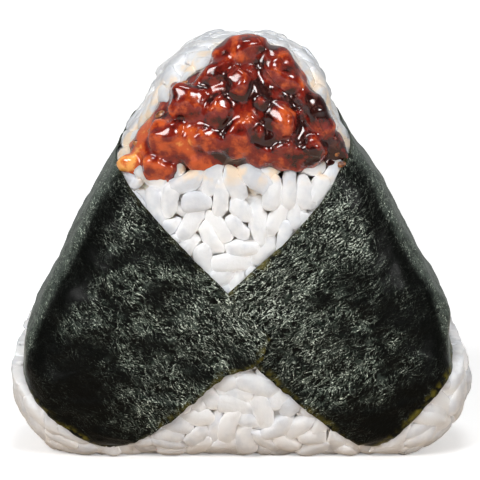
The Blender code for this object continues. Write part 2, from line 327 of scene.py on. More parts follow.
def strip_place(along, across, side):
    """(path, up) of a place on one half of the strip, in the plane that its slanted side unrolls to."""
    flap = FLAPS[side]
    lean = slanted_side(side)[0] if side > 0 else math.pi - slanted_side(side)[0]
    half_way = side_profile(side)[0][-2]
    edge_z = BACK_EDGE_HEIGHT - CAD_MIDDLE.z
    start_path = edge_z * math.sin(lean) - half_way
    start_up = edge_z * math.cos(lean)
    first = math.radians(flap["rise"]) - lean
    slope = math.radians(flap["slope"])
    to_bend = (flap["bend_at"] - start_path) / math.cos(first)
    gone = along * flap["length"]
    before = np.minimum(gone, to_bend)
    after = np.maximum(gone - to_bend, 0.0)
    path = start_path + before * math.cos(first) + after * math.cos(slope)
    up = start_up + before * math.sin(first) + after * math.sin(slope)
    heading = first + (slope - first) * smooth_ramp(gone - to_bend, -BEND_LENGTH / 2, BEND_LENGTH / 2)
    to_end = smooth_ramp(gone, to_bend, flap["length"])
    down = heading - math.pi / 2 - math.radians(flap["skew"]) * to_end**3
    wider = side * NORI_WIDER * along - flap["narrows"] * to_end**3
    wider = wider + flap["widens"] * smooth_ramp(gone - to_bend, WIDENS_FROM, WIDENS_TO)
    past_bend = np.clip((gone - to_bend) / (flap["length"] - to_bend), 0, 1)
    hollow = flap["hollow"] * np.sin(math.pi * past_bend**HOLLOW_LEANS) ** 2
    from_tongue = np.clip((across - TONGUE_AT) / TONGUE_REACH, -1, 1)
    longer = flap["tongue"] * to_end**3 * np.cos(math.pi / 2 * from_tongue) ** 2
    path = path + longer * math.cos(slope)
    up = up + longer * math.sin(slope)
    across = hollow + across * (1 + (wider - hollow) / NORI_WIDTH)
    return path + across * np.cos(down), up + across * np.sin(down)


class Strip:
    """The nori's grid: points of the ideal rice surface, their normals, and each one's place on the sheet."""

    def __init__(self, spacing, fray):
        self.half_rows = round(FLAPS[-1]["length"] / spacing)
        self.columns = round(NORI_WIDTH / spacing) + 1
        self.rows = 2 * self.half_rows + 1
        numbers = range(-self.half_rows, self.half_rows + 1)
        near, along, across = zip(*(self.row(k, fray) for k in numbers))
        self.along, self.across = np.concatenate(along), np.concatenate(across)
        self.points, self.normals = on_rice(np.concatenate(near))
        self.laid = self.lengths_laid()
        lapped = (np.repeat(numbers, self.columns) < 0) * (self.points[:, 1] < 0)
        self.lap = smooth_ramp(self.points[:, 0], LAP_FROM_X, LAP_TO_X) * lapped
        away = np.abs(self.points[:, 1] - MIDDLE.y)
        on_side_flat = 1 - smooth_ramp(away, SIDE_ENDS_FROM, SIDE_ENDS_TO)
        self.tuck = TUCK * smooth_ramp(self.across / NORI_WIDTH, TUCK_FROM, TUCK_TO) * on_side_flat
        self.ring = self.border()
        self.edge = set(self.ring)
        self.tree = tree_of(self.points)
        self.edge_tree = tree_of(self.points[self.ring])

    def row(self, k, fray):
        """(points about on the rice from MIDDLE, places along the sheet, places across it) of one row."""
        side = -1 if k < 0 else 1
        length = FLAPS[side]["length"]
        across = np.linspace(0, NORI_WIDTH, self.columns)
        along = np.full(self.columns, abs(k) / self.half_rows)
        across, along = frayed(across, along, side, length, fray)
        share = smooth_ramp(k / self.half_rows, -HALVES_MERGE, HALVES_MERGE)
        halves = [(s, weight) for s, weight in ((-1, 1 - share), (1, share)) if weight > 0]
        near = sum(weight * on_side(*strip_place(s * side * along, across, s), s) for s, weight in halves)
        return near, side * along * length, across

    def lengths_laid(self):
        """How far each point lies along the sheet from the middle of the back, measured over the surface."""
        grid = self.points.reshape(self.rows, self.columns, 3)
        steps = np.linalg.norm(np.diff(grid, axis=0), axis=2)
        gone = np.concatenate([np.zeros((1, self.columns)), np.cumsum(steps, axis=0)])
        return (gone - gone[self.half_rows]).ravel()

    def border(self):
        """Indices of the grid's border, in order round it."""
        c, r = self.columns, self.rows
        ring = list(range(c))
        ring += [k * c + c - 1 for k in range(1, r)]
        ring += [(r - 1) * c + k for k in range(c - 2, -1, -1)]
        ring += [k * c for k in range(r - 2, 0, -1)]
        return ring

    def to_end(self):
        """How far each point is from the sheet's nearer end."""
        return np.array([FLAPS[1 if a >= 0 else -1]["length"] for a in self.along]) - np.abs(self.along)

    def to_edge(self):
        """How far each point is from the sheet's nearest cut edge."""
        return np.minimum(np.minimum(self.across, NORI_WIDTH - self.across), self.to_end())

    def outside(self, p):
        """How far outside the sheet's edge points near the surface are, or minus how far inside it."""
        found = []
        for q in p:
            inside = self.tree.find(q)[1] not in self.edge
            found.append(self.edge_tree.find(q)[2] * (-1 if inside else 1))
        return np.array(found)


FRAY_REACH = 0.0016  # how far in from a cut edge the sheet is out of true
FRAY_LOW, FRAY_HIGH = 0.7, 1.3  # shares of the fray at the two long edges


def frayed(across, along, side, length, fray):
    """The same places with the sheet's edges a little out of true, ragged at the fibres' scale."""
    at = side * along * length
    spots = np.stack([at, across, np.zeros_like(at)], axis=1)
    near_low = np.exp(-across / FRAY_REACH)
    near_high = np.exp(-(NORI_WIDTH - across) / FRAY_REACH)
    near_end = np.exp(-(1 - along) * length / FRAY_REACH)
    across = across + fray * relief(spots, EDGE_WANDER) * (near_high * FRAY_HIGH + near_low * FRAY_LOW)
    along = along + fray / length * relief(spots, END_WANDER) * near_end
    return across, along


def tree_of(points):
    tree = KDTree(len(points))
    for k, point in enumerate(points):
        tree.insert(point, k)
    tree.balance()
    return tree


def round_mesh(frequency):
    """Points and triangles of a round icosahedron of radius 1, each of its edges cut into frequency parts."""
    made = bmesh.new()
    bmesh.ops.create_icosphere(made, subdivisions=1, radius=1.0)
    bmesh.ops.subdivide_edges(made, edges=made.edges[:], cuts=frequency - 1, use_grid_fill=True)
    bmesh.ops.triangulate(made, faces=made.faces[:])
    points = unit(np.array([v.co for v in made.verts]))
    faces = np.array([[v.index for v in f.verts] for f in made.faces])
    made.free()
    return points, faces


def body_mesh(frequency):
    """(points from the frame's origin, normals, triangles) of the ideal rice surface."""
    directions, faces = round_mesh(frequency)
    across = max(RICE_REACH[1])
    start = directions * np.array([across, HALF_THICKNESS, across])
    points, normals = on_rice(start / body_gauge(start)[:, None])
    return points, normals, faces


# ---------------------------------------------------------------- mesh pieces


def mesh_piece(name, vertices, faces, material, node, slot):
    """A smooth mesh object that rides on the body and stands for a CAD node."""
    mesh = bpy.data.meshes.new(name)
    mesh.from_pydata(np.asarray(vertices).tolist(), [], np.asarray(faces).tolist())
    mesh.materials.append(material)
    mesh.shade_smooth()
    obj = bpy.data.objects.new(name, mesh)
    bpy.context.scene.collection.objects.link(obj)
    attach(obj, "root")
    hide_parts(node)
    return obj


def paint(obj, name, values):
    """Stores one number a vertex, for the material."""
    layer = obj.data.attributes.new(name, "FLOAT", "POINT")
    layer.data.foreach_set("value", np.asarray(values, np.float32))


def joined(parts):
    """(points, faces) of many meshes, each given in that form, as one."""
    starts = np.cumsum([0] + [len(points) for points, _ in parts])
    faces = [own + start for (_, own), start in zip(parts, starts)]
    return np.concatenate([points for points, _ in parts]), np.concatenate(faces)


# ---------------------------------------------------------------- grains


def tube_faces(rings, sides):
    """Triangles of a closed tube of points: one at its tip, rings of them, and one at its other tip."""
    faces = []
    last = rings * sides + 1
    for s in range(sides):
        n = (s + 1) % sides
        faces.append((0, 1 + n, 1 + s))
        faces.append((last, 1 + (rings - 1) * sides + s, 1 + (rings - 1) * sides + n))
        for r in range(rings - 1):
            a, b = 1 + r * sides + s, 1 + r * sides + n
            faces.append((a, b, b + sides))
            faces.append((a, b + sides, a + sides))
    return np.array(faces)


def grain_kind(rng, build, broken=False):
    """(points, triangles) of one cooked grain along X, thin along Z: blunt ends, a bend, pressed facets."""
    rings, sides = build
    half = np.array([GRAIN_LENGTH, GRAIN_WIDTH, GRAIN_THICKNESS]) / 2 * rng.uniform(*SIZE_SPREAD)
    if broken:
        half[0] *= BROKEN_LENGTH
    blunt = rng.uniform(2.3, 3.8)
    taper = rng.uniform(-0.20, 0.20)
    square = rng.uniform(2.2, 3.2)
    turn = np.arange(sides) / sides * 2 * math.pi
    around = (np.abs(np.cos(turn)) ** square + np.abs(np.sin(turn)) ** square) ** (-1 / square)
    points = [(-1.0, 0.0, 0.0)]
    for t in rings:
        radius = (1 - abs(t) ** blunt) ** (1 / 2.25) * (1 + taper * t)
        for angle, reach in zip(turn, around):
            points.append((t, radius * reach * math.cos(angle), radius * reach * math.sin(angle)))
    points.append((1.0, 0.0, 0.0))
    points = np.array(points) * half
    bow = (points[:, 0] / half[0]) ** 2
    for axis, most in BENDS:
        points[:, axis] += rng.uniform(-most, most) * bow
    outward = unit(points * (0.35, 1, 1))
    points += outward * relief(points, GRAIN_SWELL, rng.uniform(0, 50))[:, None]
    for _ in range(FACETS):
        facing = unit(rng.normal(size=3) * (0.55, 1, 1))
        limit = (points @ facing).max() * rng.uniform(FACET_FROM, FACET_TO)
        points -= facing * np.clip(points @ facing - limit, 0, None)[:, None] * 0.85
    return points, tube_faces(len(rings), sides)


def dart_throw(candidates, spacing, taken=()):
    """Picks candidates in order that stay this far from each other and from those taken."""
    kept = [np.asarray(t) for t in taken]
    start = len(kept)
    for q in candidates:
        if not kept or (((np.array(kept) - q) ** 2).sum(axis=1) > spacing**2).all():
            kept.append(q)
    return np.array(kept[start:]).reshape(-1, 3)


def surface_spots(rng, count):
    """Random points spread evenly over the ideal rice surface."""
    points, _, faces = body_mesh(SPOTS_MESH)
    corners = points[faces]
    area = np.linalg.norm(np.cross(corners[:, 1] - corners[:, 0], corners[:, 2] - corners[:, 0]), axis=1)
    picked = rng.choice(len(faces), count, p=area / area.sum())
    a, b = np.sqrt(rng.random(count)), rng.random(count)
    weights = np.stack([1 - a, a * (1 - b), a * b], axis=1)
    return (corners[picked] * weights[:, :, None]).sum(axis=1)


# Grains that stand in a row before the filling's lower edge: (share of the filling's width, height of the
# tip over the filling's lowest point, lean in degrees, positive to +X).
LIP_GRAINS = (
    (0.065, 0.0002, -38),
    (0.145, 0.0006, -6),
    (0.215, 0.0020, 10),
    (0.300, 0.0038, 58),
    (0.405, 0.0062, 14),
    (0.500, 0.0046, -26),
    (0.600, 0.0044, -52),
    (0.675, 0.0032, 12),
    (0.745, 0.0040, 4),
    (0.810, 0.0032, -10),
    (0.870, 0.0030, 26),
    (0.935, 0.0052, 34),
)
LIP_HEIGHT = -0.0009


def in_filling_box(u, v=0.0):
    """(x, z) at these shares of the filling's width and height."""
    low, high = FILLING_BOX
    return low.x + u * (high.x - low.x), low.z + v * (high.z - low.z)


def lip_grains():
    """(middles, axes) of the row of grains before the filling's lower edge."""
    middles, axes = [], []
    for share, tip, lean in LIP_GRAINS:
        x, lowest = in_filling_box(share)
        axis = np.array([math.sin(math.radians(lean)), 0.0, math.cos(math.radians(lean))])
        top = np.array([x, FILLING_BOX[0].y, lowest + tip - GRAIN_WIDTH / 2])
        middles.append(top - axis * np.array([0, 0, END_REACH * abs(axis[2])]))
        axes.append(axis)
    start = np.array(middles) - np.array(MIDDLE)
    start[:, 1] = -HALF_THICKNESS
    for _ in range(3):
        height, normal = height_over(body_gauge, start)
        start[:, 1] -= (height - LIP_HEIGHT) / normal[:, 1]
    return start + np.array(MIDDLE), np.array(axes)


BALLS = np.array([[1.0, 0.0], [0.5, 0.5], [0.0, 1.0]])  # shares of a grain's two ends in its three balls


def touching_pairs(ends):
    """(first, second) of all grains near enough to touch."""
    middles = ends.mean(axis=1)
    apart = ((middles[:, None] - middles[None]) ** 2).sum(axis=2)
    return np.nonzero(np.triu(apart < (2 * END_REACH + 2 * BALL + 0.001) ** 2, 1))


def pushed_apart(balls, i, j):
    """Moves that part the balls of the touching grains i and j."""
    gap = balls[i][:, :, None] - balls[j][:, None]
    away = np.maximum(np.linalg.norm(gap, axis=3, keepdims=True), 1e-6)
    push = gap / away * np.clip(2 * BALL - away, 0, None) * 0.28
    moves = np.zeros_like(balls)
    np.add.at(moves, i, push.sum(axis=2))
    np.add.at(moves, j, -push.sum(axis=1))
    return moves


def pushed_off_sheet(balls, sheet_tree, sheet_points):
    """Moves that bring the balls clear of the nori's inner face."""
    moves = np.zeros_like(balls)
    clear = BALL + SHEET_CLEAR
    for n, k in np.ndindex(len(balls), 3):
        _, index, distance = sheet_tree.find(balls[n, k])
        if distance < clear:
            moves[n, k] = (balls[n, k] - sheet_points[index]) / max(distance, 1e-6) * (clear - distance)
    return moves


def pack_grains(ends, rest, held, sheet_points):
    """Settles grains side by side at their rest heights. A grain is given by the middles of its end balls.

    rest is each end's height over the ideal surface, and held is how firmly a grain keeps its place, 0 to 1.
    """
    sheet_tree = tree_of(sheet_points)
    first = ends.copy()
    loose = (1 - held)[:, None, None]
    for step in range(PACKING_STEPS):
        if step % 8 == 0:
            i, j = touching_pairs(ends)
        moves = pushed_apart(np.einsum("kw,nwc->nkc", BALLS, ends), i, j)
        ends = ends + np.einsum("kw,nkc->nwc", BALLS, moves) * loose
        flat = ends.reshape(-1, 3)
        height, normal = over_rice(flat)
        flat = flat + normal * ((rest.ravel() - height) * 0.35)[:, None]
        ends = flat.reshape(-1, 2, 3)
        if step % 3 == 2:
            moves = pushed_off_sheet(np.einsum("kw,nwc->nkc", BALLS, ends), sheet_tree, sheet_points)
            ends = ends + np.einsum("kw,nkc->nwc", BALLS, moves) * 0.6
        span = ends[:, 1] - ends[:, 0]
        length = np.linalg.norm(span, axis=1, keepdims=True)
        fix = span / length * (length - 2 * END_REACH) / 2
        ends = np.stack([ends[:, 0] + fix, ends[:, 1] - fix], axis=1)
        ends = ends + (first - ends) * held[:, None, None] * 0.5
        ends[:, :, 2] = np.maximum(ends[:, :, 2], BALL)
    return ends


def press_apart(vertices, owner, ends, radius):
    """Flattens grains where they press on each other: a vertex inside a neighbour backs off by half."""
    middles = ends.mean(axis=1)
    apart = ((middles[:, None] - middles[None]) ** 2).sum(axis=2)
    np.fill_diagonal(apart, np.inf)
    near = np.argsort(apart, axis=1)[:, :NEIGHBOURS]
    for column in range(NEIGHBOURS):
        other = near[owner, column]
        start, span = ends[other, 0], ends[other, 1] - ends[other, 0]
        share = np.clip(((vertices - start) * span).sum(axis=1) / (span**2).sum(axis=1), -0.05, 1.05)
        off = vertices - (start + span * share[:, None])
        away = np.maximum(np.linalg.norm(off, axis=1), 1e-6)
        inside = np.clip(radius - away, 0, MOST_PRESSED)
        vertices = vertices + off / away[:, None] * (inside * 0.5)[:, None]
    return vertices


def moulded(vertices):
    """Flattens the grains' tops to the pressed surface, more in some places than in others."""
    height, normal = over_rice(vertices)
    share = MOULDED_TO + 0.35 * np.clip(noise_at(vertices, 0.0060, 41.0), -1, 1)
    over = np.clip(height - MOULDED_FROM, 0, None)
    return vertices - normal * (over * (1 - share))[:, None]


def scattered_grains(rng, strip):
    """Grains before they are packed: a row at the filling's lip, a top layer where rice shows, a lower one.

    Returns the middles of their end balls, the heights where these rest, how firmly each grain is held, and
    how many grains are in the lip and in the top layer.
    """
    lip_middles, lip_axes = lip_grains()
    in_lip = len(lip_middles)
    spots = surface_spots(rng, SPOTS)
    spots = spots[strip.outside(spots) > -UNDER_NORI]
    spots = spots[over_filling(spots)[0] > TOP_CLEAR]
    top = dart_throw(spots, TOP_SPACING, lip_middles)
    lower = dart_throw(spots[::-1], LOWER_SPACING)
    lower = lower[over_filling(lower)[0] > LOWER_CLEAR]

    surface = np.concatenate([top, lower])
    normal = over_rice(surface)[1]
    across = unit(np.cross(normal, rng.normal(size=surface.shape)))
    tilt = rng.normal(0, TILT, len(surface))
    heights = np.concatenate([np.full(len(top), TOP_HEIGHT), np.full(len(lower), LOWER_HEIGHT)])
    heights = heights + rng.uniform(-HEIGHT_SPREAD, HEIGHT_SPREAD, len(heights)) + uneven(surface)

    middles = np.concatenate([lip_middles, surface + normal * heights[:, None]])
    axes = np.concatenate([lip_axes, unit(across + normal * tilt[:, None])])
    heights = np.concatenate([over_rice(lip_middles)[0], heights])
    slant = np.clip(np.concatenate([np.zeros(in_lip), tilt]), -0.2, 0.2) * END_REACH
    ends = np.stack([middles - axes * END_REACH, middles + axes * END_REACH], axis=1)
    rest = np.stack([heights - slant, heights + slant], axis=1)
    held = np.concatenate([np.full(in_lip, LIP_HELD), np.zeros(len(surface))])
    return ends, rest, held, in_lip, len(top)


def shaped_grains(rng, ends, in_lip, in_top):
    """A list of (points, triangles): a grain of one of a few kinds along each pair of ends, lying flat."""
    upper_kinds = [grain_kind(rng, TOP_GRAIN, broken=k >= WHOLE_KINDS) for k in range(GRAIN_KINDS)]
    lower_kinds = [grain_kind(rng, LOWER_GRAIN) for _ in range(GRAIN_KINDS // 2)]
    middles = ends.mean(axis=1)
    normals = over_rice(middles)[1]
    grains = []
    for k in range(len(ends)):
        kinds = upper_kinds if k < in_lip + in_top else lower_kinds
        points, triangles = kinds[rng.integers(WHOLE_KINDS if k < in_lip else len(kinds))]
        length = unit(ends[k, 1] - ends[k, 0])
        roll = rng.normal(0, ROLL)
        out = unit(normals[k] - length * (normals[k] @ length))
        side = np.cross(out, length)
        thin = out * math.cos(roll) + side * math.sin(roll)
        wide = side * math.cos(roll) - out * math.sin(roll)
        if rng.random() < 0.5:
            length, wide = -length, -wide
        basis = np.stack([length, wide, thin])
        grains.append((points * rng.uniform(0.95, 1.05) @ basis + middles[k], triangles))
    return grains


def make_grains(rng, strip, lift, sheet_points):
    """(points, triangles, which grain each point is of) of the real grains, packed and pressed."""
    ends, rest, held, in_lip, in_top = scattered_grains(rng, strip)
    ends = pack_grains(ends, rest, held, sheet_points)
    grains = shaped_grains(rng, ends, in_lip, in_top)
    vertices, faces = joined(grains)
    owner = np.repeat(np.arange(len(grains)), [len(points) for points, _ in grains])
    vertices = press_apart(vertices, owner, ends, (GRAIN_WIDTH + GRAIN_THICKNESS) / 4)
    vertices = under_sheet(moulded(vertices), strip, lift)
    vertices[:, 2] = np.maximum(vertices[:, 2], 0.0)
    return vertices, faces, owner


def under_sheet(vertices, strip, lift):
    """Flattens what would come through the nori: vertices stay below its inner face."""
    vertices = vertices.copy()
    for k, v in enumerate(vertices):
        _, index, distance = strip.tree.find(v)
        if distance > 0.003:
            continue
        off = v - strip.points[index]
        height = off @ strip.normals[index]
        beside = math.sqrt(max(distance**2 - height**2, 0.0))
        if index in strip.edge and beside > 0.0004:
            continue
        limit = lift[index] - SHEET_CLEAR
        if height > limit:
            vertices[k] = v - strip.normals[index] * (height - limit)
    return vertices


def make_rice(strip, lift, sheet_points, grain_material, core_material):
    rng = np.random.default_rng(SEED)
    vertices, faces, owner = make_grains(rng, strip, lift, sheet_points)
    grains = mesh_piece("rice_grains", vertices, faces, grain_material, "rice_body", "rice")
    paint(grains, "deep", smooth_ramp(-over_rice(vertices)[0], 0.0016, 0.0040))
    paint(grains, "tone", rng.normal(0, 1, owner.max() + 1)[owner])
    paint(grains, "stain", 1 - smooth_ramp(over_filling(vertices)[0], 0.0002, 0.0026))
    make_core(core_material)


def make_core(material):
    """The inside of the rice below the grains, with its hollow for the filling."""
    points, normals, faces = body_mesh(CORE_MESH)
    points = points - normals * (CORE_DEPTH - relief(points, CORE_LUMPS))[:, None]
    in_hollow = (over_filling(points)[0] < 0.0004) * (points[:, 1] < FILLING_MIDDLE.y + 0.004)
    points[:, 1] += in_hollow * np.clip(FILLING_MIDDLE.y + 0.003 - points[:, 1], 0, None)
    points[:, 2] = np.maximum(points[:, 2], 0.0012)
    mesh_piece("rice_core", points, faces, material, "rice_body", "rice")


# ---------------------------------------------------------------- nori


# Places painted dark as shade on the felt: (x, z, reach, how strong the painted shade is).
SHADED_SPOTS = (
    (-0.0330, 0.0120, 0.0190, 1.0),
    (-0.0230, 0.0020, 0.0100, 0.9),
    (0.0250, 0.0040, 0.0110, 1.0),
    (0.0330, 0.0120, 0.0110, 0.9),
    (0.0300, 0.0300, 0.0110, 0.8),
    (-0.0240, 0.0300, 0.0060, 0.4),
)
# Places where the felt gets the most painted sheen and glints, in the same form.
PAINTED_SHEEN_SPOTS = (
    (0.0030, 0.0300, 0.0130, 1.0),
    (0.0200, 0.0440, 0.0120, 1.0),
    (-0.0060, 0.0260, 0.0100, 0.7),
    (-0.0230, 0.0450, 0.0080, 0.7),
    (0.0120, 0.0200, 0.0090, 0.6),
    (-0.0150, 0.0120, 0.0090, 0.4),
)


CREASE_HEIGHT = 0.00040
CREASE_SHARE = 0.25  # how far from a crease's middle it reaches, as a share of the noise
CREASES_FROM, CREASES_TO = 0.010, 0.024  # below MIDDLE
EDGE_LIFT, EDGE_LIFT_REACH = 0.00028, 0.0013


def sheet_lift(strip):
    """How far the sheet's inner face stands off the ideal surface, with what shows through of the grains."""
    p = strip.points
    lift = SHEET_LIES + uneven(p)
    lift += relief(p, SHOWS_THROUGH)
    creases = relief(p * (0.35, 1.0, 1.0), CREASES)
    corner = smooth_ramp(MIDDLE.z - p[:, 2], CREASES_FROM, CREASES_TO)
    lift += CREASE_HEIGHT * corner * np.clip(CREASE_SHARE - np.abs(creases), 0, 1) / CREASE_SHARE
    lift += EDGE_LIFT * np.exp(-strip.to_edge() / EDGE_LIFT_REACH) * (0.4 + relief(p, EDGE_WAVES))
    return np.maximum(lift, DEEPEST_LIES) + LAP_LIFT * strip.lap - strip.tuck


def sheet_faces(strip):
    """Faces of a thick sheet whose points are the inner grid's, then the outer one's."""
    count, columns = len(strip.points), strip.columns
    faces = []
    for r in range(strip.rows - 1):
        for c in range(columns - 1):
            a = r * columns + c
            b, d, e = a + 1, a + columns, a + columns + 1
            faces.append((a, b, e, d))
            faces.append((a + count, d + count, e + count, b + count))
    for a, b in zip(strip.ring, strip.ring[1:] + strip.ring[:1]):
        faces.append((a, a + count, b + count, b))
    return faces


def make_nori(strip, lift, material):
    inner = strip.points + strip.normals * lift[:, None]
    points = np.concatenate([inner, inner + strip.normals * SHEET])
    points[:, 2] = np.maximum(points[:, 2], FLOOR_CLEARANCE)
    nori = mesh_piece("nori_sheet", points, sheet_faces(strip), material, "nori_strip", "nori")
    looks = {
        "along": strip.laid,
        "across": strip.across,
        "fringe": olive_fringe(strip),
        # painted sheen: the slanted sides are painted lighter, as grazing light on them shows
        "sides": smooth_ramp(np.abs(strip.normals[:, 0]), 0.64, 0.80),
        # painted shade: the felt is painted darker round the folds and in a few spots
        "painted_shade": painted_shade_felt(strip),
        # painted sheen: more of the felt's grain and its pale glints show in a few spots
        "painted_sheen": spotted(strip.points, PAINTED_SHEEN_SPOTS),
    }
    for name, values in looks.items():
        paint(nori, name, np.tile(values, 2))


def spotted(points, spots):
    """The strongest of the soft round spots at each point."""
    found = np.zeros(len(points))
    for x, z, reach, share in spots:
        away = np.hypot(points[:, 0] - x, points[:, 2] - z)
        found = np.maximum(found, share * (1 - smooth_ramp(away, reach * 0.35, reach)))
    return found


def painted_shade_felt(strip):
    """Painted shade on the sheet: dark round the folds, and over the two lower corners."""
    turned = np.abs(strip.normals[:, 0])
    fold = smooth_ramp(turned, 0.22, 0.42) * (1 - smooth_ramp(turned, 0.80, 0.90))
    fold = fold * (1 - 0.6 * smooth_ramp(strip.points[:, 2], 0.045, 0.056))
    return np.maximum(fold, spotted(strip.points, SHADED_SPOTS))


def olive_fringe(strip):
    """How yellow each point is: ragged bands on the lower edge, the ends, and the upper edge at the cross."""
    spots = np.stack([strip.along, strip.across, np.zeros_like(strip.along)], axis=1)
    ragged = relief(spots, RAGGED_FRINGE)
    bands = (
        (NORI_WIDTH - strip.across, 0.0001, 0.0013, 1.0),
        (strip.across, 0.0, 0.0011, 0.8 * smooth_ramp(strip.along, 0.058, 0.070)),
        (strip.to_end(), 0.0, 0.0010, 0.6),
        (strip.across, -0.0002, 0.0006, 0.15),
    )
    shares = [share * (1 - smooth_ramp(away + ragged, start, end)) for away, start, end, share in bands]
    return np.maximum.reduce(shares)


# ---------------------------------------------------------------- filling

# The chunks that show most: (share of the filling's width, share of its height, length, width, turn in
# degrees, boxiness), the last 2 for an egg and more for a cube.
CHUNKS = (
    (0.53, 0.92, 0.0110, 0.0070, 8, 2.2),
    (0.70, 0.77, 0.0120, 0.0076, -48, 2.3),
    (0.84, 0.52, 0.0116, 0.0062, -56, 2.3),
    (0.94, 0.27, 0.0070, 0.0046, -50, 2.2),
    (0.285, 0.60, 0.0064, 0.0062, -8, 4.6),
    (0.41, 0.78, 0.0084, 0.0044, 42, 2.5),
    (0.52, 0.70, 0.0052, 0.0046, 60, 2.3),
    (0.44, 0.55, 0.0066, 0.0048, 60, 2.4),
    (0.71, 0.47, 0.0074, 0.0064, -50, 2.6),
    (0.51, 0.34, 0.0076, 0.0060, 62, 2.5),
    (0.36, 0.38, 0.0070, 0.0046, 20, 2.3),
    (0.20, 0.37, 0.0072, 0.0052, 25, 2.6),
    (0.060, 0.15, 0.0070, 0.0038, -18, 2.3),
    (0.175, 0.13, 0.0076, 0.0056, -10, 2.6),
    (0.38, 0.21, 0.0080, 0.0046, 12, 2.3),
    (0.60, 0.24, 0.0060, 0.0050, -35, 2.4),
    (0.72, 0.24, 0.0068, 0.0058, 85, 2.8),
    (0.83, 0.26, 0.0064, 0.0056, 40, 2.6),
    (0.91, 0.13, 0.0056, 0.0040, -20, 2.3),
)
CHUNK_DEPTH = 0.95  # of its width
CHUNK_SINKS, SMALL_SINKS = 0.28, 0.10  # share of a chunk's width by which its middle lies in the bed
CHUNK_RESTS = 0.0008  # middle of a chunk that lies over the rice, behind its surface
SMALL_CHUNKS = 20
BED_SHARE = 0.972
BED_MESH, CHUNK_MESH, CRUMB_MESH = 9, 6, 4
FILLING_VOXEL = 0.00032
LIP_RECESS = 0.0019
RECESS_FROM, RECESS_TO = -0.0014, 0.0058  # over the tips of the lip's grains


def chunk_points(rng, long, wide, thick, turn, boxiness, directions):
    """One irregular chunk about the origin, lying along X turned in the XZ plane, thick along Y."""
    half = np.array([long, thick, wide]) / 2
    reach = (np.abs(directions) ** boxiness).sum(axis=1) ** (-1 / boxiness)
    points = directions * reach[:, None] * half
    points = points + directions * relief(points, CHUNK_LUMPS, rng.uniform(0, 90))[:, None]
    tip = rng.uniform(-0.35, 0.35)
    c, s = math.cos(math.radians(turn)), math.sin(math.radians(turn))
    lean = np.array([[1, 0, 0], [0, math.cos(tip), -math.sin(tip)], [0, math.sin(tip), math.cos(tip)]])
    spin = np.array([[c, 0, -s], [0, 1, 0], [s, 0, c]])
    return points @ lean.T @ spin.T


def front_of_filling(x, z, sink):
    """The point of the filling's CAD front over this x and z, sunk by sink."""
    p = np.array([[x - FILLING_MIDDLE.x, -FILLING_FRONT_BULGE, z - FILLING_MIDDLE.z]])
    for _ in range(12):
        height, normal = height_over(filling_gauge, p)
        p[:, 1] -= np.clip(height * np.sign(normal[:, 1]), -0.002, 0.002)
    p[0, 1] = max(min(p[0, 1], 0.0), -FILLING_FRONT_BULGE)
    return p[0] + np.array(FILLING_MIDDLE) + np.array([0, sink, 0])


def front_of_rice(x, z):
    """(point, normal) of the ideal rice surface about in front of this x and z."""
    points, normals = on_rice(np.array([[x, MIDDLE.y - HALF_THICKNESS, z]]) - np.array(MIDDLE))
    return points[0], normals[0]


def all_chunks(rng):
    """(x, z, length, width, turn, boxiness, how deep it sinks) of the listed and the scattered chunks."""
    chunks = []
    for u, v, long, wide, turn, boxiness in CHUNKS:
        chunks.append((*in_filling_box(u, v), long, wide, turn, boxiness, CHUNK_SINKS * wide))
    for _ in range(SMALL_CHUNKS):
        x, z = in_filling_box(rng.uniform(0.04, 0.96), rng.uniform(0.08, 0.97))
        wide = rng.uniform(0.0016, 0.0034)
        spot = np.array([[x - FILLING_MIDDLE.x, 0.0, z - FILLING_MIDDLE.z]])
        if filling_gauge(spot)[0] > 0.93:
            continue
        long = wide * rng.uniform(1.0, 1.6)
        chunks.append((x, z, long, wide, rng.uniform(-90, 90), rng.uniform(2.0, 3.6), SMALL_SINKS * wide))
    return chunks


def filling_bed():
    """(points, triangles) of the smooth heap that the chunks sit in."""
    directions, triangles = round_mesh(BED_MESH)
    across = max(FILLING_REACH[1])
    start = directions * np.array([across, FILLING_FRONT_BULGE, across])
    return start / filling_gauge(start)[:, None] * BED_SHARE + np.array(FILLING_MIDDLE), triangles


def make_filling(material):
    """A heap of chunks under one coat of sauce: they and their bed get one skin, which is then rippled."""
    rng = np.random.default_rng(SEED + 5)
    directions, triangles = round_mesh(CHUNK_MESH)
    parts = [filling_bed()]
    for x, z, long, wide, turn, boxiness, sink in all_chunks(rng):
        points = chunk_points(rng, long, wide, wide * CHUNK_DEPTH, turn, boxiness, directions)
        middle = front_of_filling(x, z, sink)
        middle[1] = min(middle[1], front_of_rice(x, z)[0][1] + CHUNK_RESTS)
        parts.append((points + middle, triangles))
    filling = mesh_piece("filling_heap", *joined(parts), material, "filling", "filling")
    skin(filling)
    finish_skin(filling)


# Crumbs and drops that fell beside the heap: (share of the filling's width, share of its height, length, turn
# in degrees).
CRUMBS = (
    (0.270, 0.745, 0.0024, 30),
    (0.225, 0.665, 0.0016, -20),
    (0.150, 0.515, 0.0026, 12),
    (0.095, 0.420, 0.0015, 50),
    (0.035, 0.330, 0.0020, -35),
    (0.735, 0.830, 0.0018, 60),
    (0.845, 0.640, 0.0017, -60),
    (0.935, 0.430, 0.0024, 80),
    (0.975, 0.300, 0.0026, -70),
    (1.005, 0.190, 0.0020, 20),
)
CRUMB_SITS = 0.0002  # middle of a crumb over the rice


def make_crumbs(material):
    rng = np.random.default_rng(SEED + 9)
    directions, triangles = round_mesh(CRUMB_MESH)
    parts = []
    for u, v, long, turn in CRUMBS:
        points = chunk_points(rng, long, long * 0.62, long * 0.55, turn, 2.4, directions)
        placed, normal = front_of_rice(*in_filling_box(u, v))
        parts.append((points + placed + normal * CRUMB_SITS, triangles))
    mesh_piece("filling_crumbs", *joined(parts), material, "filling", "filling")


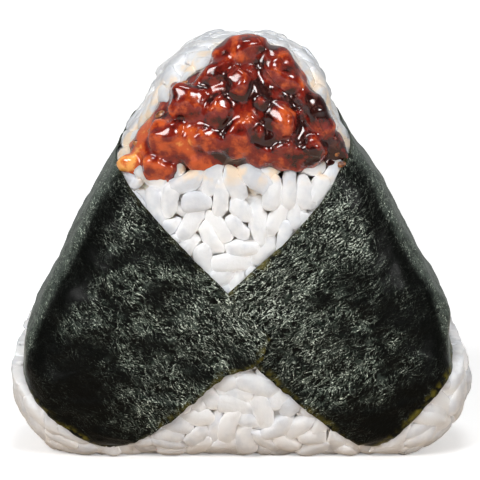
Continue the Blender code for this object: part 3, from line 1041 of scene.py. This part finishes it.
def apply_modifiers(obj):
    """Replaces the object's mesh by its evaluated one."""
    graph = bpy.context.evaluated_depsgraph_get()
    made = bpy.data.meshes.new_from_object(obj.evaluated_get(graph))
    old = obj.data
    obj.modifiers.clear()
    obj.data = made
    bpy.data.meshes.remove(old)


def add_smoothing(obj, rounds):
    soften = obj.modifiers.new("soften", "SMOOTH")
    soften.factor = 0.5
    soften.iterations = rounds


def skin(obj):
    """Replaces the overlapping meshes by one smooth skin."""
    wrap = obj.modifiers.new("skin", "REMESH")
    wrap.mode = "VOXEL"
    wrap.voxel_size = FILLING_VOXEL
    wrap.use_smooth_shade = True
    add_smoothing(obj, 12)
    apply_modifiers(obj)


def points_of(mesh, attribute="co"):
    found = np.empty(len(mesh.vertices) * 3, np.float32)
    mesh.vertices.foreach_get(attribute, found)
    return found.reshape(-1, 3).astype(float)


def calmed(obj, rounds):
    """The object's points after this many rounds of smoothing."""
    smoothed = obj.copy()
    smoothed.data = obj.data.copy()
    bpy.context.scene.collection.objects.link(smoothed)
    add_smoothing(smoothed, rounds)
    apply_modifiers(smoothed)
    found = points_of(smoothed.data)
    bpy.data.objects.remove(smoothed)
    return found


def finish_skin(obj):
    """Ripples of sauce, a lower edge behind the lip's grains, and how far each point stands out."""
    points = points_of(obj.data)
    ripple = 0.00055 * noise_at(points, 0.0044, 18.0) - 0.00040 * np.abs(noise_at(points, 0.0030, 19.0))
    low, high = FILLING_BOX
    in_front = points[:, 1] < FILLING_MIDDLE.y + 0.002
    shares, tips, _ = zip(*LIP_GRAINS)
    lip = low.z + np.interp((points[:, 0] - low.x) / (high.x - low.x), shares, tips)
    drop = 1 - smooth_ramp(points[:, 2], lip + RECESS_FROM, lip + RECESS_TO)
    points = points + points_of(obj.data, "normal") * ripple[:, None]
    points[:, 1] += LIP_RECESS * drop * in_front
    obj.data.vertices.foreach_set("co", points.astype(np.float32).ravel())
    obj.data.update()
    normals = points_of(obj.data, "normal")
    # how far each point stands out, which the material uses for painted shade in hollows and painted
    # highlight on raised places
    for name, rounds, most in (("stands", 50, 0.0010), ("stands_wide", 320, 0.0022)):
        stands = ((points - calmed(obj, rounds)) * normals).sum(axis=1)
        paint(obj, name, np.clip(stands / most, -1, 1))
    paint(obj, "to_right", np.clip((points[:, 0] - low.x) / (high.x - low.x), 0, 1))
    paint(obj, "up", np.clip((points[:, 2] - low.z) / (high.z - low.z), 0, 1))


# ---------------------------------------------------------------- materials


class Nodes:
    """A node tree with short ways to add and link nodes."""

    def __init__(self, tree):
        self.tree = tree

    def put(self, socket, value):
        if isinstance(value, bpy.types.NodeSocket):
            self.tree.links.new(value, socket)
        elif value is not None:
            socket.default_value = value

    def node(self, kind, *inputs, out=0, named=None, **settings):
        """An output of a new node, with its first inputs and its named ones given."""
        made = self.tree.nodes.new(kind)
        for key, value in settings.items():
            setattr(made, key, value)
        for socket, value in zip(made.inputs, inputs):
            self.put(socket, value)
        for name, value in (named or {}).items():
            self.put(made.inputs[name], value)
        return made.outputs[out]

    def math(self, operation, *inputs):
        return self.node("ShaderNodeMath", *inputs, operation=operation)

    def vector(self, operation, *inputs, out=0):
        return self.node("ShaderNodeVectorMath", *inputs, operation=operation, out=out)

    def turned(self, at, axis, degrees):
        angle = {"Vector": at, "Angle": math.radians(degrees)}
        return self.node("ShaderNodeVectorRotate", named=angle, rotation_type=axis)

    def attribute(self, name):
        return self.node("ShaderNodeAttribute", attribute_name=name, out=2)

    def place(self):
        """The point on the object, in millimetres."""
        return self.vector("MULTIPLY", self.node("ShaderNodeTexCoord", out=3), (1000.0, 1000.0, 1000.0))

    def noise(self, at, size, detail=2.0, rough=0.5, distort=0.0, out="Fac"):
        """Noise from about 0 to 1 with bumps of this size, in the units of at."""
        given = {"Vector": at, "Scale": 1.0 / size, "Detail": detail, "Roughness": rough}
        given["Distortion"] = distort
        return self.node("ShaderNodeTexNoise", named=given, out=out)

    def ramp(self, value, *ends):
        """Smooth steps: the value's two ends, and what they become if not 0 and 1."""
        return self.node("ShaderNodeMapRange", value, *ends, interpolation_type="SMOOTHSTEP")

    def mix(self, share, first, second):
        """A colour between two, each a triple or a socket."""
        made = self.tree.nodes.new("ShaderNodeMix")
        made.data_type = "RGBA"
        self.put(made.inputs["Factor"], share)
        for name, value in (("A", first), ("B", second)):
            socket = next(s for s in made.inputs if s.name == name and s.type == "RGBA")
            self.put(socket, value if isinstance(value, bpy.types.NodeSocket) else (*value, 1.0))
        return next(s for s in made.outputs if s.type == "RGBA")

    def bump(self, height, distance, strength):
        given = {"Strength": strength, "Distance": distance, "Height": height}
        return self.node("ShaderNodeBump", named=given)


class Shader(Nodes):
    """A material with one glossy surface."""

    def __init__(self, name):
        self.material = bpy.data.materials.new(name)
        self.material.use_nodes = True
        super().__init__(self.material.node_tree)
        self.surface = self.tree.nodes["Principled BSDF"]

    def set(self, **values):
        """Sets sockets of the surface, named with _ for spaces."""
        for name, value in values.items():
            self.put(self.surface.inputs[name.replace("_", " ")], value)


GRAIN_WHITE = (0.685, 0.694, 0.705)
GRAIN_CLOUDY = (0.560, 0.582, 0.620)
# Painted light: grains deep in the gaps are paler and warmer, standing in for light through the grains and
# making up for their shade.
GRAIN_DEEP_PAINTED_LIGHT = (0.95, 0.84, 0.70)
# Painted light: the core's pale warm beige, seen in the gaps, stands in for light through the grains and
# makes up for the gaps' shade.
CORE_DARK = (0.84, 0.73, 0.60)
CORE_LIGHT = (0.92, 0.85, 0.75)
SAUCE_STAIN = (0.80, 0.62, 0.42)


def grain_material():
    s = Shader("cooked_rice")
    at = s.place()
    cloud = s.noise(at, 2.2, 2.0)
    tone = s.math("MULTIPLY_ADD", s.attribute("tone"), 0.13, cloud)
    colour = s.mix(s.ramp(tone, 0.35, 0.80), GRAIN_WHITE, GRAIN_CLOUDY)
    # painted light on the deep grains in the gaps
    colour = s.mix(s.attribute("deep"), colour, GRAIN_DEEP_PAINTED_LIGHT)
    stain = s.math("MULTIPLY", s.attribute("stain"), s.ramp(s.noise(at, 3.0, 2.0), 0.42, 0.62))
    colour = s.mix(s.math("MULTIPLY", stain, 0.75), colour, SAUCE_STAIN)
    s.set(Base_Color=colour, Roughness=s.ramp(s.noise(at, 0.9, 2.0), 0.3, 0.7, 0.34, 0.52))
    s.surface.subsurface_method = "BURLEY"
    s.set(Subsurface_Weight=1.0, Subsurface_Scale=0.0026, Subsurface_Radius=(1.0, 0.92, 0.84), IOR=1.38)
    s.set(Specular_IOR_Level=0.45)
    height = s.math("ADD", s.noise(at, 1.1, 2.0), s.math("MULTIPLY", s.noise(at, 0.35, 1.0), 0.3))
    s.set(Normal=s.bump(height, 0.00022, 0.6))
    return s.material


def core_material():
    s = Shader("rice_below")
    at = s.place()
    # painted light: pale warm beige where the core shows in the gaps
    colour = s.mix(s.ramp(s.noise(at, 2.0, 3.0), 0.35, 0.65), CORE_DARK, CORE_LIGHT)
    s.set(Base_Color=colour, Roughness=0.55, Subsurface_Weight=0.4, Subsurface_Scale=0.001)
    s.set(Normal=s.bump(s.noise(at, 1.6, 2.0), 0.0006, 0.8))
    return s.material


NORI_DARK = (0.0009, 0.0012, 0.0009)
NORI_GREEN = (0.0150, 0.0230, 0.0180)
# Painted sheen: soft lighter blotches on the felt.
NORI_SHEEN_BLOTCH = (0.048, 0.060, 0.052)
# Painted sheen on the slanted sides.
NORI_SIDE_SHEEN = (0.060, 0.072, 0.064)
# The fibres' grey-green strokes: partly their own colour, partly painted sheen.
FIBRE_GREY_AND_SHEEN = (0.130, 0.155, 0.130)
# Painted glints: the palest strokes stand in for light caught by the fibres.
FIBRE_GLINT = (0.80, 0.84, 0.76)
NORI_FRINGE = (0.120, 0.098, 0.014)

# The felt's strokes: (angle to the sheet's length in degrees, width and length of the noise's bumps in
# millimetres, level over which it shows).
FIBRES = (
    (-16, 0.30, 2.2, 0.585),
    (14, 0.36, 1.3, 0.60),
    (36, 0.30, 1.7, 0.60),
    (-42, 0.32, 1.4, 0.60),
    (78, 0.44, 0.8, 0.63),
    (2, 0.24, 1.2, 0.60),
)


def sheet_place(s):
    """The place on the flat sheet, in millimetres, so that its fibres follow it round the folds."""
    both = [s.math("MULTIPLY", s.attribute(name), 1000.0) for name in ("along", "across")]
    return s.node("ShaderNodeCombineXYZ", *both)


def fibre_layer(s, at, turn, width, length, level, seed):
    """Short strokes that lie at one angle to the sheet: the crests of a noise stretched that way."""
    turned = s.turned(at, "Z_AXIS", -turn)
    stretched = s.vector("MULTIPLY", turned, (1.0 / length, 1.0 / width, 1.0))
    moved = s.vector("ADD", stretched, (seed * 13.7, seed * 7.1, seed * 3.3))
    return s.ramp(s.noise(moved, 1.0, 1.0), level, level + 0.08)


def fibre_strokes(s, flat, at):
    """All layers of strokes, each strong in some places and faint in others."""
    strokes = None
    for seed, fibre in enumerate(FIBRES):
        layer = fibre_layer(s, at, *fibre, seed + 1.0)
        where = s.noise(s.vector("ADD", flat, (seed * 31.0, 0.0, 0.0)), 2.8, 1.0)
        layer = s.math("MULTIPLY", layer, s.ramp(where, 0.38, 0.62, 0.10, 1.0))
        strokes = layer if strokes is None else s.math("MAXIMUM", strokes, layer)
    return strokes


def felt_shown(s, flat):
    """How much of the felt's grain shows: in clouds, most in the painted sheen spots and on the sides'
    painted sheen, least where shade is painted.
    """
    clouds = s.ramp(s.noise(flat, 5.5, 3.0, 0.6), 0.41, 0.61)
    # painted sheen: the felt's grain shows most in its spots
    clouds = s.math("MAXIMUM", clouds, s.math("MULTIPLY", s.attribute("painted_sheen"), 0.85))
    # painted shade: where it is painted, hardly any of the felt's grain shows, so the sheet is darker
    rough = s.math("MULTIPLY_ADD", s.attribute("painted_shade"), -0.95, 1.0)
    shown = s.math("MULTIPLY", s.math("MULTIPLY_ADD", clouds, 0.90, 0.10), rough)
    # painted sheen: on the slanted sides most of the felt's grain shows
    return s.math("MAXIMUM", shown, s.math("MULTIPLY", s.attribute("sides"), 0.85))


def nori_material():
    s = Shader("nori_felt")
    flat = sheet_place(s)
    warp = s.vector("SUBTRACT", s.noise(flat, 3.6, out="Color"), (0.5, 0.5, 0.5))
    at = s.vector("ADD", flat, s.vector("MULTIPLY", warp, (1.6, 1.6, 0.0)))
    shown = felt_shown(s, flat)
    strokes = fibre_strokes(s, flat, at)
    lit = s.math("MULTIPLY", strokes, shown)
    crinkle = s.noise(at, 1.0, 2.0, 0.55)
    fine = s.noise(at, 0.30, 2.0)
    # painted glints: pale strokes are commoner in the painted sheen spots
    rarity = s.math("MULTIPLY_ADD", s.attribute("painted_sheen"), -0.07, 0.53)
    washes = (
        (s.ramp(crinkle, 0.46, 0.72), shown, NORI_GREEN),
        # painted sheen: soft lighter blotches
        (s.ramp(s.noise(flat, 2.4, 3.0, 0.6), 0.52, 0.72), shown, NORI_SHEEN_BLOTCH),
        # painted sheen on the slanted sides
        (s.ramp(crinkle, 0.34, 0.60, 0.35, 1.0), s.attribute("sides"), NORI_SIDE_SHEEN),
        # fibre strokes: partly their own colour, partly painted sheen
        (1.0, lit, FIBRE_GREY_AND_SHEEN),
        # painted glints on the fibres
        (s.ramp(fine, rarity, s.math("ADD", rarity, 0.12)), lit, FIBRE_GLINT),
        (s.ramp(s.noise(flat, 1.6, 2.0), 0.36, 0.60), s.attribute("fringe"), NORI_FRINGE),
    )
    colour = NORI_DARK
    for pattern, share, wash in washes:
        colour = s.mix(s.math("MULTIPLY", pattern, share), colour, wash)
    s.set(Base_Color=colour, Roughness=0.40, Specular_IOR_Level=0.03)
    s.set(Coat_Weight=1.0, Coat_Roughness=0.30, Coat_IOR=1.14, Coat_Tint=(0.96, 1.0, 0.97, 1.0))
    height = s.math("MULTIPLY_ADD", strokes, 0.22, s.math("MULTIPLY_ADD", fine, 0.10, crinkle))
    s.set(Normal=s.bump(height, 0.00045, 0.8))
    return s.material


# Steps of the sauce's colour from its hollows to what stands out most: partly the glaze's own colour, dark
# where thick and orange where thin, partly painted shade and painted highlight.
SAUCE_BLACK = (0.018, 0.0008, 0.0004)
SAUCE_RED = (0.185, 0.0095, 0.0040)
SAUCE_ORANGE = (0.560, 0.088, 0.0150)
SAUCE_GOLD = (0.850, 0.380, 0.0900)
# A pale pinkish film on the right of the heap: partly a film of sauce, partly painted sheen.
SAUCE_SHEEN_FILM = (0.220, 0.090, 0.075)
SAUCE_SPECULAR = (1.0, 0.45, 0.35, 1.0)
SAUCE_STEPS = ((0.36, 0.58, SAUCE_RED), (0.58, 0.84, SAUCE_ORANGE), (0.88, 1.10, SAUCE_GOLD))
CRUMB_DARK = (0.075, 0.016, 0.004)
CRUMB_LIGHT = (0.420, 0.150, 0.035)


def sauce_level(s, at):
    """How bright the heap is at a point: patches, brighter towards its left, darker in its hollows and
    brighter where it stands out, which is partly the glaze lying thick in hollows and thin over chunks and
    partly painted shade and painted highlight.
    """
    level = s.math("MULTIPLY_ADD", s.noise(at, 4.2, 1.0), 1.25, -0.24)
    # painted shade and painted highlight: darker in hollows, brighter where the heap stands out
    for name, share in (("stands", 0.22), ("stands_wide", 0.32), ("to_right", -0.25), ("up", -0.06)):
        level = s.math("MULTIPLY_ADD", s.attribute(name), share, level)
    return s.math("MULTIPLY_ADD", s.noise(at, 1.3, 3.0, 0.62), 0.62, level)


def filling_material():
    s = Shader("glazed_filling")
    at = s.place()
    level = sauce_level(s, at)
    colour = SAUCE_BLACK
    for start, end, brighter in SAUCE_STEPS:
        colour = s.mix(s.ramp(level, start, end), colour, brighter)
    # partly a film of sauce, partly painted sheen, on the right of the heap
    sheen_film = s.ramp(s.noise(at, 4.0, 3.0, 0.6, 0.8), 0.50, 0.66)
    sheen_film = s.math("MULTIPLY", sheen_film, s.ramp(s.attribute("to_right"), 0.45, 0.95, 0.0, 0.30))
    s.set(Base_Color=s.mix(sheen_film, colour, SAUCE_SHEEN_FILM), Roughness=0.26)
    s.set(Specular_IOR_Level=0.25, IOR=1.45, Specular_Tint=SAUCE_SPECULAR)
    s.set(Subsurface_Weight=0.20, Subsurface_Scale=0.0010, Subsurface_Radius=(1.0, 0.3, 0.1))
    s.set(Coat_Weight=1.0, Coat_Roughness=0.125, Coat_IOR=1.56)
    height = s.math("MULTIPLY_ADD", s.noise(at, 1.6, 1.0), 0.8, sauce_strands(s, at))
    height = s.math("MULTIPLY_ADD", s.noise(at, 0.6, 1.0), 0.14, height)
    s.set(Normal=s.bump(height, 0.00052, 0.7))
    return s.material


def crumb_material():
    s = Shader("filling_crumb")
    at = s.place()
    colour = s.mix(s.ramp(s.noise(at, 0.8, 2.0), 0.36, 0.64), CRUMB_DARK, CRUMB_LIGHT)
    s.set(Base_Color=colour, Roughness=0.34, Coat_Weight=0.6, Coat_Roughness=0.12)
    s.set(Normal=s.bump(s.noise(at, 0.5, 2.0), 0.00025, 0.8))
    return s.material


def sauce_strands(s, at):
    """Thin ridges of sauce drawn out down to the right, on the right half of the heap."""
    drawn = s.vector("MULTIPLY", s.turned(at, "Y_AXIS", -52), (0.30, 1.0, 1.0))
    level = s.math("ABSOLUTE", s.math("SUBTRACT", s.noise(drawn, 3.4, 1.0), 0.5))
    on_right = s.ramp(s.attribute("to_right"), 0.40, 0.75, 0.0, 0.9)
    return s.math("MULTIPLY", s.ramp(level, 0.035, 0.0), on_right)


# ---------------------------------------------------------------- stage, light, camera

CAMERA_AWAY = 0.580
CAMERA_UP = 8.0  # degrees
CAMERA_AIM = Vector((0.0, 0.0, 0.038))
CAMERA_LENS = 237.6
FLOOR_RADIUS = 4.0
PAPER = ((0.955, 0.955, 0.955), (0.965, 0.965, 0.965))
THROWN_NEAR, THROWN_FAR = (0.66, 0.54, 0.43), (0.60, 0.60, 0.60)  # the light that the floor throws back
# Soft boxes: (place, width and height, watts).
LIGHTS = {
    "box_left": ((-0.50, -0.85, 0.58), (0.48, 0.48), 8.6),
    "box_right": ((0.62, -0.80, 0.48), (0.30, 0.30), 4.6),
    "box_top": ((0.05, -0.30, 1.10), (0.40, 0.24), 3.4),
}


def floor_material():
    """White to the eye, but it throws back less light, as a small white table in a dark room would."""
    s = Shader("paper_floor")
    paper = s.mix(s.noise(s.place(), 60.0, 2.0), *PAPER)
    seen = s.node("ShaderNodeLightPath")
    away = s.vector("LENGTH", s.place(), out=1)
    thrown = s.mix(s.ramp(away, 90.0, 300.0), THROWN_NEAR, THROWN_FAR)
    s.set(Base_Color=s.mix(seen, thrown, paper), Roughness=0.8, Specular_IOR_Level=0.1)
    glow = s.ramp(away, 100.0, 900.0, 0.35, 0.85)
    s.set(Emission_Color=(1.0, 1.0, 1.0, 1.0), Emission_Strength=s.math("MULTIPLY", seen, glow))
    return s.material


def make_floor():
    made = bmesh.new()
    bmesh.ops.create_circle(made, cap_ends=True, segments=96, radius=FLOOR_RADIUS)
    mesh = bpy.data.meshes.new("floor")
    made.to_mesh(mesh)
    made.free()
    mesh.materials.append(floor_material())
    floor = bpy.data.objects.new("floor", mesh)
    bpy.context.scene.collection.objects.link(floor)


WORLD_FRONT, WORLD_BACK = 0.05, 0.42
FRONT_ENDS, BACK_STARTS = -0.55, 0.45  # directions' y between which one becomes the other


def make_world():
    """A white studio, bright behind and dim in front, where the soft boxes stand."""
    world = bpy.data.worlds.new("studio")
    bpy.context.scene.world = world
    world.use_nodes = True
    nodes = Nodes(world.node_tree)
    background = nodes.tree.nodes["Background"]
    along_y = nodes.node("ShaderNodeSeparateXYZ", nodes.node("ShaderNodeTexCoord"), out=1)
    strength = nodes.ramp(along_y, FRONT_ENDS, BACK_STARTS, WORLD_FRONT, WORLD_BACK)
    nodes.put(background.inputs["Strength"], strength)
    background.inputs["Color"].default_value = (1.0, 1.0, 1.0, 1.0)


def add_aimed(name, data, at):
    """An object at this place that looks at CAMERA_AIM."""
    made = bpy.data.objects.new(name, data)
    made.location = at
    made.rotation_mode = "QUATERNION"
    made.rotation_quaternion = (CAMERA_AIM - made.location).to_track_quat("-Z", "Y")
    bpy.context.scene.collection.objects.link(made)
    return made


def add_light(name, at, size, watts):
    data = bpy.data.lights.new(name, "AREA")
    data.shape = "ELLIPSE"
    data.size, data.size_y = size
    data.energy = watts
    add_aimed(name, data, at)


def add_camera():
    data = bpy.data.cameras.new("camera")
    data.sensor_width = 36.0
    data.lens = CAMERA_LENS
    data.clip_start = 0.01
    up = math.radians(CAMERA_UP)
    at = CAMERA_AIM + CAMERA_AWAY * Vector((0.0, -math.cos(up), math.sin(up)))
    bpy.context.scene.camera = add_aimed("camera", data, at)


def make_stage():
    make_floor()
    make_world()
    for name, light in LIGHTS.items():
        add_light(name, *light)
    add_camera()
    bpy.context.scene.view_settings.view_transform = "Standard"


def main():
    strip = Strip(NORI_MESH, NORI_FRAY)
    lift = sheet_lift(strip)
    inner = strip.points + strip.normals * lift[:, None]
    make_rice(strip, lift, inner, grain_material(), core_material())
    make_nori(strip, lift, nori_material())
    make_filling(filling_material())
    make_crumbs(crumb_material())
    make_stage()


main()
